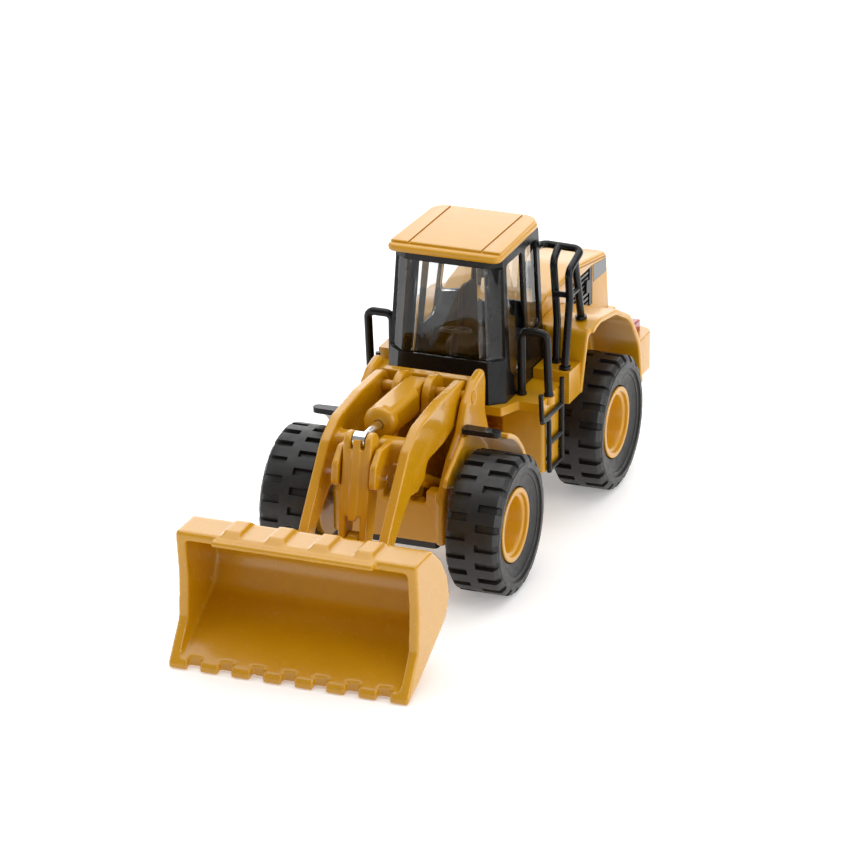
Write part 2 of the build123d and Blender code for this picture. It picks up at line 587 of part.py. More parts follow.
def operator_seat():
    floor = CAB_BASE_Z + 1.6
    base = block(-2.2, 2.2, 31.0, 35.5, floor, 31.0)
    cushion = softened(block(-3.1, 3.1, 29.6, 36.0, 31.0, 33.0), 0.6)
    back = side([(34.6, 32.6, 0.6), (36.8, 32.6, 0.6), (38.0, 41.6, 0.8), (36.4, 41.8, 0.8)],
                -3.0, 3.0)
    head = softened(block(-1.7, 1.7, 36.6, 38.0, 41.4, 44.0), 0.5)
    return base + cushion + back + head


def steering_column():
    floor = CAB_BASE_Z + 1.6
    foot = block(-1.4, 1.4, 24.2, 26.0, floor, 31.0)
    stalk = bar_between((25.2, 30.0), (27.0, 36.6), 0.7, 0)
    plane = Plane(origin=(0, 27.0, 36.6), z_dir=(0, 1.8, 6.6))
    rim = plane * Torus(2.6, 0.35)
    spoke = plane * Box(5.2, 0.7, 0.5)
    return foot + stalk + rim + spoke


def side_console(x0, x1):
    floor = CAB_BASE_Z + 1.6
    box_part = softened(block(x0, x1, 28.0, 37.0, floor, 34.6), 0.4)
    middle = (x0 + x1) / 2
    lever_stalk = upright(middle, 29.6, 0.35, 34.5, 37.6)
    return box_part + lever_stalk + Pos(middle, 29.6, 37.8) * Sphere(0.6)


def precleaner():
    """Air intake pot on a stem, ahead of the engine cover's left half."""
    pot = upright(4.6, 49.0, 1.9, 39.9, 42.6)
    stem = upright(4.6, 49.0, 0.9, HOOD_TOP_Z, 40.0)
    return softened(pot, 0.5) + stem


def exhaust_stack():
    stack = upright(-4.6, 49.6, 1.1, HOOD_TOP_Z, 43.6)
    return stack - upright(-4.6, 49.6, 0.7, 41.0, 44)


# ---- the nodes --------------------------------------------------------------------------------
def model():
    node = {}
    for name, y in (("front", 0.0), ("rear", WHEELBASE)):
        left_tyre, left_hub = tyre(y), hub(y)
        node[f"{name}_axle"] = axle(y)
        node[f"{name}_left_tyre"] = left_tyre
        node[f"{name}_right_tyre"] = mirrored(left_tyre)
        node[f"{name}_left_hub"] = left_hub
        node[f"{name}_right_hub"] = mirrored(left_hub)

    node["bucket"] = bucket()
    node["bucket_hinge_pins"] = pieces(*(cross_rod(BUCKET_PIVOT, PIN_R, s * 6.6 - 1.9,
                                                   s * 6.6 + 1.9) for s in (-1, 1)))
    node["lift_arms"] = lift_arms()
    node["bellcrank_pivot_pin"] = cross_rod(LEVER_PIVOT, PIN_R, -4.1, 4.1)
    node["bellcrank"] = bellcrank()
    node["bellcrank_foot_pin"] = cross_rod(LEVER_FOOT, PIN_R, -2.7, 2.7)
    node["tilt_link"] = tilt_link()
    node["tilt_link_pin"] = cross_rod(BUCKET_LUG, PIN_R, -1.2, 1.2)
    node["tilt_cylinder_barrel"] = tilt_barrel()
    node["tilt_cylinder_rod"] = tilt_rod()
    node["tilt_rod_pin"] = cross_rod(ROD_EYE, PIN_R, -1.15, 1.15)

    for word in ("left", "right"):
        node[f"lift_cylinder_barrel_{word}"] = on_side(word, lift_barrel(LIFT_X))
        node[f"lift_cylinder_rod_{word}"] = on_side(word, lift_rod(LIFT_X))
        node[f"front_fender_{word}"] = on_side(word, front_fender())
        node[f"rear_fender_{word}"] = on_side(word, rear_fender(FENDER_OUT[word]))
        node[f"hood_grille_{word}"] = on_side(word, grille())
        node[f"ladder_{word}"] = on_side(word, ladder(LADDER_TOP_Z[word]))

    pin = lift_rod_pin(3.8, 7.6, 3.3)
    node["lift_rod_pins"] = pieces(pin, mirrored(pin))
    base_pin = cross_rod(LIFT_BASE, PIN_R, EAR_IN, TOWER_IN + 1.2)
    node["lift_base_pins"] = pieces(base_pin, mirrored(base_pin))
    node["arm_pivot_pin"] = cross_rod(ARM_PIVOT, PIN_R + 0.3, -TOWER_OUT, TOWER_OUT)
    node["front_chassis"] = front_chassis()
    node["front_base_plate"] = front_base_plate()
    node["front_screws"] = screws(((0, -2.6), (0, 10.0)), 7.6)
    bar = light_bar()
    node["light_bars"] = pieces(bar, mirrored(bar))

    node["rear_chassis"] = rear_chassis()
    node["rear_base_plate"] = rear_base_plate()
    node["rear_screws"] = screws(((0, 37.0), (0, 68.0)), 7.0)
    node["hitch_pin"] = upright(*HITCH, 1.5, 8.8, 20.6)
    node["engine_hood"] = engine_hood()
    node["radiator_grille"] = radiator_grille()
    node["counterweight"] = counterweight()
    lamp = tail_lamp()
    node["tail_lamps"] = pieces(lamp, mirrored(lamp))
    node["cab_deck"] = cab_deck()
    node["guard_rail"] = guard_rail()
    hoop = grab_hoop()
    node["grab_hoops"] = pieces(hoop, mirrored(hoop))
    frame = cab_frame()
    node["cab_frame"] = frame
    node["cab_glazing"] = cab_glazing(frame)
    node["cab_roof"] = cab_roof()
    node["operator_seat"] = operator_seat()
    node["steering_column"] = steering_column()
    node["side_console"] = side_console(4.6, 7.4)
    node["precleaner"] = precleaner()
    node["exhaust_stack"] = exhaust_stack()
    return node


def main():
    os.makedirs("parts", exist_ok=True)
    for name, shape in model().items():
        export_step(Pos(0, -MIDDLE_Y, 0) * shape, f"parts/{name}.step")


main()
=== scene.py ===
"""Finish of a small toy front loader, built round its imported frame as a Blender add-on.

Every size is in metres in the frame's own axes: X to the machine's left, Y to its rear, Z up.
"""

import json
import math

import bmesh
import bpy
import numpy as np
from mathutils import Matrix, Vector


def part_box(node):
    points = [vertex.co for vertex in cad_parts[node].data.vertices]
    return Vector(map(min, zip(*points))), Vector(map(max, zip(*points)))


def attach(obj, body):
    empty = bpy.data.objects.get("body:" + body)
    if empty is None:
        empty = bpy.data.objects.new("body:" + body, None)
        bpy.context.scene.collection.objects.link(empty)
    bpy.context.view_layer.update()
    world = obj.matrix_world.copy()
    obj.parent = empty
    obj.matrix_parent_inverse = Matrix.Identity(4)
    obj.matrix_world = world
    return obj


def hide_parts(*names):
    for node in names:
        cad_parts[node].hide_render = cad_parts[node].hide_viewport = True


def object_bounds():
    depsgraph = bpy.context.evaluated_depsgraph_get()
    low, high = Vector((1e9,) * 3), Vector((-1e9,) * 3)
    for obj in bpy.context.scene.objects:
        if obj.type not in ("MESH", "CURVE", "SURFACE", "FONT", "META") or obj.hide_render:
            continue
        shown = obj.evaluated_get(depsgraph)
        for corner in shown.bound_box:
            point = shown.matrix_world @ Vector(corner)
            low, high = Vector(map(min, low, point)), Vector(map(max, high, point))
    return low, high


bl_info = {
    "name": "Toy front loader",
    "version": (1, 0, 0),
    "blender": (4, 5, 0),
    "location": "View3D > Sidebar > Loader",
    "description": "Tyres, castings, cab, rails and studio of a small toy front loader",
    "category": "Object",
}

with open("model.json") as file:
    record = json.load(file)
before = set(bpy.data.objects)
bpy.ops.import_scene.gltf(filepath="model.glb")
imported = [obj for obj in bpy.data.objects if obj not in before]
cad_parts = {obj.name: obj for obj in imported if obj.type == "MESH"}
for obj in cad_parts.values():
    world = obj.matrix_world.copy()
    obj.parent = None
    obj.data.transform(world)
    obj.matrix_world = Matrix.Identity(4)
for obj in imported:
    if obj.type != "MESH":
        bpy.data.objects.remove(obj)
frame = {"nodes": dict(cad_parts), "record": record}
CAD_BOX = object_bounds()
NODES = frame["nodes"]
BODY_OF = {
    node: body
    for body, nodes in frame["record"]["behaviour"]["bodies"].items()
    for node in nodes
}
SLOT_OF = {row["node"]: row["material_slot"] for row in frame["record"]["subparts"]}
MATERIALS = {}            # filled by the first step
MM = 0.001

FLAT_DEGREES = 0.8        # faces that turn less than this are joined in a merged copy
SHARP_DEGREES = 28.0      # edges that turn more than this are rounded
SHARP_MARGIN = 12.0       # and the shading breaks at this much more
MERGE_REACH = 2e-6        # doubles in a node's mesh
WELD_REACH = 1e-7         # doubles in a new mesh
NOISE_RANGE = (0.3, 0.7)  # most of a noise's values lie between these
HUB_SEGMENTS = 96
CAMERA_PLACE = (0.3151, -0.7951, 0.3606)
CAMERA_DEGREES = (21.62, 21.67, -0.2)  # azimuth, elevation, roll
CAMERA_LENS = 214.97
FLOOR_REACH = 3.0
WORLD_STRENGTH = 0.3
# name, place, what it is aimed at, width, height, watts
SOFTBOXES = (
    ("overhead", (0.0, 0.15, 0.95), (0.0, 0.0, 0.02), 1.3, 1.3, 9.0),
    ("right_side", (1.1, -0.1, 0.45), (0.0, 0.0, 0.03), 0.9, 0.8, 6.0),
    ("left_side", (-1.1, -0.3, 0.5), (0.0, 0.0, 0.03), 0.9, 0.8, 3.0),
    ("behind", (-0.45, 1.25, 0.5), (0.0, 0.0, 0.03), 2.0, 0.9, 10.0),
)


# ---- settings -------------------------------------------------------------------------------
def length(name, description, default_mm, low=0.0, high=50.0):
    """A length property, given in millimetres and kept in metres."""
    return bpy.props.FloatProperty(
        name=name, description=description, default=default_mm * MM, min=low * MM,
        max=high * MM, unit="LENGTH", precision=5)


def colour(name, description, default):
    """A colour property in linear light."""
    return bpy.props.FloatVectorProperty(
        name=name, description=description, default=default, size=3, min=0.0, max=1.0,
        subtype="COLOR")


class LoaderSizes(bpy.types.PropertyGroup):
    """Sizes of the finish."""
    cast_voxel: length("Casting voxel", "Fineness of the castings' skins", 0.2, 0.05, 1.0)
    moulded_edge: length("Moulded edge", "Rounding of the edges of moulded covers", 0.22)
    thin_edge: length("Thin edge", "Rounding of the edges of thin or small pieces", 0.09)
    tread_depth: length("Tread depth", "Depth of the slots between the tread blocks", 0.75)
    tread_slots: bpy.props.IntProperty(
        name="Tread slots", description="Slots in each side of a tyre", default=22, min=6,
        max=60)
    slot_share: bpy.props.FloatProperty(
        name="Slot share", description="Slot width as a share of the tread pitch",
        default=0.36, min=0.1, max=0.48, subtype="FACTOR")
    centre_band: length("Centre band", "Half width of the plain band in the tread", 0.85)
    label_proud: length("Label thickness", "How far the label plates stand proud", 0.06)


class LoaderColours(bpy.types.PropertyGroup):
    """Colours of the finish, in linear light."""
    yellow: colour("Yellow", "Paint and plastic of the machine", (0.62, 0.30, 0.002))
    yellow_shade: colour("Yellow shade", "Thicker colour in the paint", (0.59, 0.278, 0.0015))
    black: colour("Black", "Cab frame, rails and grilles", (0.007, 0.0066, 0.007))
    interior: colour("Interior", "Seat, console and column", (0.045, 0.045, 0.048))
    tyre: colour("Tyre", "Tyre compound", (0.014, 0.0135, 0.0135))
    window: colour("Window", "Tint of the clear moulding", (0.93, 0.945, 0.95))
    chrome: colour("Bright rod", "Plated cylinder rods", (0.86, 0.87, 0.9))
    steel: colour("Steel", "Pins, screws and axles", (0.5, 0.5, 0.51))
    base: colour("Base plate", "Painted base plates", (0.02, 0.02, 0.021))
    lamp: colour("Tail lamp", "Red lamp lens", (0.42, 0.008, 0.006))
    label: colour("Label", "Plain label plates", (0.05, 0.05, 0.055))
    floor: colour("Floor", "Studio floor", (0.93, 0.93, 0.925))


# ---- materials ------------------------------------------------------------------------------
def node_of(tree, kind, **values):
    """A new shader node with its inputs, or its own settings, set by name."""
    node = tree.nodes.new(kind)
    for key, value in values.items():
        if key in node.inputs:
            node.inputs[key].default_value = value
        else:
            setattr(node, key, value)
    return node


def object_noise(tree, scale, detail=2.0, stretch=(1.0, 1.0, 1.0)):
    """Noise on Object coordinates; scale is in repeats per metre."""
    where = node_of(tree, "ShaderNodeTexCoord")
    mapping = node_of(tree, "ShaderNodeMapping")
    mapping.inputs["Scale"].default_value = stretch
    noise = node_of(tree, "ShaderNodeTexNoise", Scale=scale, Detail=detail)
    tree.links.new(where.outputs["Object"], mapping.inputs["Vector"])
    tree.links.new(mapping.outputs["Vector"], noise.inputs["Vector"])
    return noise.outputs["Fac"]


def spread(tree, fac, low, high):
    """The noise's middle range carried to the range from low to high."""
    node = node_of(tree, "ShaderNodeMapRange")
    node.inputs["From Min"].default_value = NOISE_RANGE[0]
    node.inputs["From Max"].default_value = NOISE_RANGE[1]
    node.inputs["To Min"].default_value = low
    node.inputs["To Max"].default_value = high
    tree.links.new(fac, node.inputs["Value"])
    return node.outputs["Result"]


def surface_finish(name, base, second, rough, rough_spread=0.06, mottle=160.0,
                   grain=5200.0, relief=0.012, stretch=(1.0, 1.0, 1.0), **sockets):
    """A coloured surface: base and second colour mottled by broad noise, roughness that
    varies about rough, and a fine relief of the given height in millimetres."""
    material = bpy.data.materials.new(name)
    material.use_nodes = True
    tree = material.node_tree
    shader = tree.nodes["Principled BSDF"]
    mix = node_of(tree, "ShaderNodeMix", data_type="RGBA")
    mix.inputs["A"].default_value = (*base, 1.0)
    mix.inputs["B"].default_value = (*second, 1.0)
    tree.links.new(spread(tree, object_noise(tree, mottle, 4.0, stretch), 0.0, 1.0),
                   mix.inputs["Factor"])
    tree.links.new(mix.outputs["Result"], shader.inputs["Base Color"])
    tree.links.new(spread(tree, object_noise(tree, mottle * 3.1, 3.0, stretch),
                          rough - rough_spread, rough + rough_spread),
                   shader.inputs["Roughness"])
    bump = node_of(tree, "ShaderNodeBump", Strength=1.0, Distance=relief * MM)
    tree.links.new(object_noise(tree, grain, 3.0, stretch), bump.inputs["Height"])
    tree.links.new(bump.outputs["Normal"], shader.inputs["Normal"])
    for socket, value in sockets.items():
        shader.inputs[socket.replace("_", " ")].default_value = value
    return material


def make_materials():
    """All finishes by their slot in the record, and a few more for added pieces."""
    c = bpy.context.scene.loader_colours
    darker = [tuple(0.72 * v for v in col) for col in (c.black, c.tyre, c.interior, c.base)]
    return {
        "yellow_casting": surface_finish(
            "yellow_gloss_paint", c.yellow, c.yellow_shade, 0.26, 0.02, relief=0.0012,
            grain=1500.0, Coat_Weight=0.5, Coat_Roughness=0.06, Coat_IOR=1.45),
        "yellow_plastic": surface_finish(
            "yellow_moulded_gloss", c.yellow, c.yellow_shade, 0.3, 0.02, relief=0.0012,
            grain=1700.0, Coat_Weight=0.4, Coat_Roughness=0.08, Coat_IOR=1.45),
        "black_plastic": surface_finish(
            "black_moulded_satin", c.black, darker[0], 0.24, 0.05, relief=0.003,
            Specular_IOR_Level=0.3),
        "interior_plastic": surface_finish(
            "dark_grey_grained", c.interior, darker[2], 0.6, 0.08, relief=0.03,
            grain=3800.0),
        "tyre": surface_finish(
            "tyre_compound", c.tyre, darker[1], 0.42, 0.08, mottle=240.0, relief=0.010,
            grain=4200.0),
        "window": surface_finish(
            "clear_moulding", c.window, tuple(0.985 * v for v in c.window), 0.025, 0.015,
            mottle=60.0, grain=120.0, relief=0.004, stretch=(1.0, 1.0, 0.25),
            Transmission_Weight=1.0, IOR=1.46),
        "bright_rod": surface_finish(
            "plated_rod", c.chrome, tuple(0.9 * v for v in c.chrome), 0.14, 0.05,
            mottle=400.0, grain=9000.0, relief=0.004, stretch=(1.0, 0.2, 1.0), Metallic=1.0),
        "steel_pin": surface_finish(
            "turned_steel", c.steel, tuple(0.8 * v for v in c.steel), 0.3, 0.08,
            mottle=700.0, grain=9000.0, relief=0.008, stretch=(6.0, 1.0, 1.0), Metallic=1.0),
        "base_metal": surface_finish(
            "black_stove_paint", c.base, darker[3], 0.38, 0.08, relief=0.02, grain=2600.0),
        "lamp_red": surface_finish(
            "red_lamp_lens", c.lamp, tuple(0.75 * v for v in c.lamp), 0.18, 0.04,
            grain=1400.0, relief=0.02, Coat_Weight=0.7, Coat_Roughness=0.05),
        "label": surface_finish(
            "label_foil", c.label, tuple(0.8 * v for v in c.label), 0.2, 0.04,
            grain=900.0, relief=0.006, Coat_Weight=0.4, Coat_Roughness=0.06),
    }


# ---- meshes ---------------------------------------------------------------------------------
def new_mesh(name, points, faces, sharp_degrees=35.0):
    """A mesh of points and faces with welded doubles and faces that point outwards."""
    mesh = bpy.data.meshes.new(name)
    mesh.from_pydata(np.asarray(points, dtype=float).reshape(-1, 3), [], faces)
    work = bmesh.new()
    work.from_mesh(mesh)
    bmesh.ops.remove_doubles(work, verts=work.verts, dist=WELD_REACH)
    bmesh.ops.recalc_face_normals(work, faces=work.faces)
    work.to_mesh(mesh)
    work.free()
    mesh.polygons.foreach_set("use_smooth", np.ones(len(mesh.polygons), dtype=bool))
    mesh.set_sharp_from_angle(angle=math.radians(sharp_degrees))
    return mesh


def grid_faces(rows, columns, wrap_rows, wrap_columns, first=0):
    """Quads between neighbouring points of a rows by columns grid, as an index array."""
    i, j = np.meshgrid(np.arange(rows if wrap_rows else rows - 1),
                       np.arange(columns if wrap_columns else columns - 1), indexing="ij")
    down, right = (i + 1) % rows, (j + 1) % columns
    quads = np.stack([i * columns + j, down * columns + j, down * columns + right,
                      i * columns + right], axis=-1)
    return quads.reshape(-1, 4) + first


def turned_grid(profile, angles, centre, side):
    """Points of a surface of revolution about X: (centre + side * x, r cos a, r sin a)."""
    x = np.broadcast_to(profile[..., 0], profile.shape[:-1]) * side + centre[0]
    r = profile[..., 1]
    return np.stack([x + 0 * angles, centre[1] + r * np.cos(angles),
                     centre[2] + r * np.sin(angles)], axis=-1)


def superellipsoid(centre, half, power=0.3, rows=28, columns=44):
    """A crowned block: half sizes times signed powers of the cosines and sines of latitude
    and longitude; the smaller the power, the squarer the block."""
    lat = np.linspace(-math.pi / 2, math.pi / 2, rows)[:, None]
    lon = np.linspace(0, 2 * math.pi, columns, endpoint=False)[None, :]

    def signed(value):
        return np.sign(value) * np.abs(value) ** power

    shape = np.stack([signed(np.cos(lat)) * signed(np.cos(lon)),
                      signed(np.cos(lat)) * signed(np.sin(lon)),
                      signed(np.sin(lat)) * np.ones_like(lon)], axis=-1)
    return np.asarray(centre) + shape * np.asarray(half)


def add_piece(name, mesh, slot, body, replaced=(), finish=None):
    """A finished piece: linked, painted, riding on its body and standing for its nodes."""
    piece = bpy.data.objects.new(name, mesh)
    bpy.context.scene.collection.objects.link(piece)
    mesh.materials.append(MATERIALS[finish or slot])
    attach(piece, body)
    if replaced:
        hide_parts(*replaced)
    return piece


def merged_copy(node, name):
    """The node's mesh with its doubles merged, as a new mesh in its own place."""
    source = NODES[node]
    work = bmesh.new()
    work.from_mesh(source.data)
    work.transform(source.matrix_world)
    bmesh.ops.remove_doubles(work, verts=work.verts, dist=MERGE_REACH)
    bmesh.ops.dissolve_limit(work, angle_limit=math.radians(FLAT_DEGREES),
                             verts=work.verts, edges=work.edges)
    mesh = bpy.data.meshes.new(name)
    work.to_mesh(mesh)
    work.free()
    mesh.polygons.foreach_set("use_smooth", np.ones(len(mesh.polygons), dtype=bool))
    return mesh


def softened(node, edge):
    """A merged copy of a node's mesh with its sharp edges rounded; it replaces the node."""
    mesh = merged_copy(node, f"{node}_moulding")
    mesh.set_sharp_from_angle(angle=math.radians(SHARP_DEGREES + SHARP_MARGIN))
    piece = add_piece(f"{node}_moulding", mesh, SLOT_OF[node], BODY_OF[node], (node,))
    bevel = piece.modifiers.new("rounded edges", "BEVEL")
    bevel.width = edge
    bevel.segments = 2
    bevel.limit_method = "ANGLE"
    bevel.angle_limit = math.radians(SHARP_DEGREES)
    bevel.use_clamp_overlap = True
    bevel.harden_normals = True
    bevel.miter_outer = "MITER_ARC"
    return piece


def cast(node, voxel, passes):
    """A merged copy of a node's mesh with the soft edges of a casting: it is resampled in
    voxels and smoothed, which rounds its edges by about voxel times the root of passes."""
    mesh = merged_copy(node, f"{node}_casting")
    piece = add_piece(f"{node}_casting", mesh, SLOT_OF[node], BODY_OF[node], (node,))
    resample = piece.modifiers.new("resampled skin", "REMESH")
    resample.mode = "VOXEL"
    resample.voxel_size = voxel
    resample.use_smooth_shade = True
    soften = piece.modifiers.new("soft edges", "SMOOTH")
    soften.factor = 0.5
    soften.iterations = passes
    return piece


def middle_and_half(node):
    """The middle and the half size of a node's box."""
    low, high = (np.array(corner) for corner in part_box(node))
    return (low + high) / 2, (high - low) / 2


# ---- operators ------------------------------------------------------------------------------
class LoaderOperator:
    """What every step of the build shares."""
    bl_options = {"REGISTER", "UNDO"}

    @classmethod
    def poll(cls, context):
        return context.scene is not None


class LOADER_OT_materials(LoaderOperator, bpy.types.Operator):
    """Make every finish and give it to the nodes of its slot"""
    bl_idname = "loader.materials"
    bl_label = "Finishes"

    def execute(self, context):
        MATERIALS.update(make_materials())
        for node, slot in SLOT_OF.items():
            slots = NODES[node].material_slots
            if not slots:
                raise RuntimeError(f"{node} has no material slot")
            for entry in slots:
                entry.material = MATERIALS[slot]
        return {"FINISHED"}


def tread_points(middle, half, side, sizes):
    """A tyre's surface. Across: a section polygon from bead to bead. Around: the pitch is cut
    by slots, half a pitch apart on the two sides. A point moves from the plain section to
    the slot's floor where both its place across and its angle lie in a slot."""
    width, radius = half[0], half[2]
    w, r = width / (5 * MM), radius / (12.5 * MM)
    depth = sizes.tread_depth / MM
    band = sizes.centre_band / MM
    # plain section and slot floor, (x, radius) in millimetres, from the middle outwards
    plain = np.array([
        (0.0, 12.5), (band, 12.5), (band + 0.05, 12.5), (2.4, 12.5), (4.05, 12.48),
        (4.2, 12.42), (4.74, 11.72), (4.82, 11.5), (4.86, 11.2), (4.9, 11.08), (5.0, 10.98),
        (5.0, 10.2), (4.92, 10.1), (4.66, 10.06), (4.6, 9.98), (4.58, 9.3), (4.54, 9.22),
        (4.4, 9.18), (4.34, 9.08), (4.05, 8.3), (3.82, 7.5), (3.74, 7.0), (3.66, 6.86),
        (3.4, 6.72), (3.2, 6.6)])
    floor = plain.copy()
    floor[2:6, 1] -= depth
    floor[4] = (4.05, 12.5 - depth)
    floor[5] = (4.16, 12.44 - depth)
    floor[6] = (4.5, 11.42)
    floor[7] = (4.66, 11.3)
    cut = np.zeros(len(plain))
    cut[2:8] = 1.0
    # the inner side repeats the outer side's section, then the bore joins the two beads
    bore = np.array([(1.6, 6.6), (0.0, 6.6), (-1.6, 6.6)])
    mirror = np.array([-1.0, 1.0])
    section = np.concatenate([plain, bore, (plain * mirror)[:0:-1]])
    slot_floor = np.concatenate([floor, bore, (floor * mirror)[:0:-1]])
    outer_cut = np.concatenate([cut, np.zeros(len(bore) + len(plain) - 1)])
    inner_cut = np.concatenate([np.zeros(len(plain) + len(bore)), cut[:0:-1]])

    share = sizes.slot_share
    wall, corner = 0.018, 0.05
    lip = np.array([-share / 2 - corner, -share / 2 - wall, -share / 2 + wall, 0.0,
                    share / 2 - wall, share / 2 + wall, share / 2 + corner])
    shares = np.concatenate([lip, lip + 0.5])
    slots = sizes.tread_slots
    turns = (np.arange(slots)[:, None] + shares[None, :]).ravel() / slots
    in_outer = np.tile(np.concatenate([[0, 0, 1, 1, 1, 0, 0], np.zeros(7)]), slots)
    in_inner = np.tile(np.concatenate([np.zeros(7), [0, 0, 1, 1, 1, 0, 0]]), slots)

    amount = outer_cut[:, None] * in_outer + inner_cut[:, None] * in_inner
    profile = section[:, None] + amount[..., None] * (slot_floor - section)[:, None]
    profile = profile * np.array([w, r]) * MM
    angles = 2 * math.pi * turns[None, :]
    return turned_grid(profile, angles, middle, side)


class LOADER_OT_tyres(LoaderOperator, bpy.types.Operator):
    """Four tyres with staggered tread slots and stepped sidewalls"""
    bl_idname = "loader.tyres"
    bl_label = "Tyres"

    def execute(self, context):
        sizes = context.scene.loader_sizes
        for node in [name for name in NODES if name.endswith("_tyre")]:
            middle, half = middle_and_half(node)
            side = math.copysign(1.0, middle[0])
            points = tread_points(middle, half, side, sizes)
            faces = grid_faces(*points.shape[:2], True, True)
            mesh = new_mesh(f"{node}_tread", points, faces, 30.0)
            add_piece(f"{node}_tread", mesh, "tyre", BODY_OF[node], (node,))
        return {"FINISHED"}


class LOADER_OT_hubs(LoaderOperator, bpy.types.Operator):
    """Four dished hubs turned from one profile"""
    bl_idname = "loader.hubs"
    bl_label = "Hubs"

    def execute(self, context):
        # (x from the inner face, radius) in millimetres, from the blind bore's floor round
        # to the centre of the face
        profile = np.array([
            (5.75, 0.0), (5.75, 1.0), (0.0, 1.0), (0.0, 6.5), (0.1, 6.6), (8.2, 6.6),
            (8.45, 6.66), (8.58, 6.55),
            (8.6, 6.35), (8.6, 5.85), (8.52, 5.72), (8.3, 5.66), (8.05, 5.62), (7.95, 5.5),
            (7.95, 5.15), (7.85, 5.0), (7.6, 4.92), (6.9, 4.75), (5.6, 4.45), (4.9, 4.2),
            (4.7, 3.9), (4.65, 3.0), (4.7, 2.3), (4.9, 2.15), (5.9, 2.05), (6.1, 1.9),
            (6.2, 1.5), (6.22, 0.7), (6.22, 0.0)]) * MM
        angles = np.linspace(0, 2 * math.pi, HUB_SEGMENTS, endpoint=False)[None, :]
        for node in [name for name in NODES if name.endswith("_hub")]:
            low, high = (np.array(corner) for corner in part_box(node))
            middle = (low + high) / 2
            side = math.copysign(1.0, middle[0])
            start = low[0] if side > 0 else high[0]
            reach = (high[2] - low[2]) / 2 / (6.6 * MM)
            shaped = np.broadcast_to(profile[:, None],
                                     (len(profile), HUB_SEGMENTS, 2)).copy()
            shaped[..., 1] = np.minimum(shaped[..., 1] * reach, 6.72 * MM)
            points = turned_grid(shaped, angles, (start, middle[1], middle[2]), side)
            mesh = new_mesh(f"{node}_dish", points,
                            grid_faces(*points.shape[:2], False, True), 40.0)
            add_piece(f"{node}_dish", mesh, "yellow_plastic", BODY_OF[node], (node,))
        return {"FINISHED"}


class LOADER_OT_bucket(LoaderOperator, bpy.types.Operator):
    """Bucket casting with soft lips and teeth"""
    bl_idname = "loader.bucket"
    bl_label = "Bucket"

    def execute(self, context):
        cast("bucket", context.scene.loader_sizes.cast_voxel * 1.35, 5)
        return {"FINISHED"}


class LOADER_OT_linkage(LoaderOperator, bpy.types.Operator):
    """Lift arms, tilt lever and bucket link with well rounded edges"""
    bl_idname = "loader.linkage"
    bl_label = "Arms and lever"

    def execute(self, context):
        sizes = context.scene.loader_sizes
        cast("lift_arms", sizes.cast_voxel, 7)
        cast("bellcrank", sizes.cast_voxel * 0.8, 7)
        cast("tilt_link", sizes.cast_voxel * 0.8, 5)
        return {"FINISHED"}


class LOADER_OT_cylinders(LoaderOperator, bpy.types.Operator):
    """Cylinder barrels with rounded edges"""
    bl_idname = "loader.cylinders"
    bl_label = "Cylinders"

    def execute(self, context):
        sizes = context.scene.loader_sizes
        cast("tilt_cylinder_barrel", sizes.cast_voxel * 0.8, 5)
        for word in ("left", "right"):
            softened(f"lift_cylinder_barrel_{word}", sizes.thin_edge)
        return {"FINISHED"}


class LOADER_OT_front_body(LoaderOperator, bpy.types.Operator):
    """Front frame, its mudguards and lamp brackets"""
    bl_idname = "loader.front_body"
    bl_label = "Front frame"

    def execute(self, context):
        sizes = context.scene.loader_sizes
        cast("front_chassis", sizes.cast_voxel, 5)
        cast("front_fender_left", sizes.cast_voxel, 6)
        cast("front_fender_right", sizes.cast_voxel, 6)
        softened("light_bars", sizes.moulded_edge)
        return {"FINISHED"}


class LOADER_OT_rear_body(LoaderOperator, bpy.types.Operator):
    """Rear frame, hood, counterweight, wheel arches, deck and grilles"""
    bl_idname = "loader.rear_body"
    bl_label = "Rear frame"

    def execute(self, context):
        sizes = context.scene.loader_sizes
        for node in ("rear_chassis", "counterweight", "cab_deck"):
            softened(node, sizes.moulded_edge)
        softened("engine_hood", sizes.thin_edge)
        for word in ("left", "right"):
            cast(f"rear_fender_{word}", sizes.cast_voxel, 9)
            softened(f"hood_grille_{word}", sizes.thin_edge)
        softened("radiator_grille", sizes.thin_edge)
        softened("tail_lamps", sizes.thin_edge)
        return {"FINISHED"}


class LOADER_OT_cab(LoaderOperator, bpy.types.Operator):
    """Cab tub, clear moulding and roof"""
    bl_idname = "loader.cab"
    bl_label = "Cab"

    def execute(self, context):
        sizes = context.scene.loader_sizes
        softened("cab_frame", sizes.moulded_edge)
        softened("cab_glazing", sizes.moulded_edge)
        softened("cab_roof", sizes.moulded_edge)
        return {"FINISHED"}


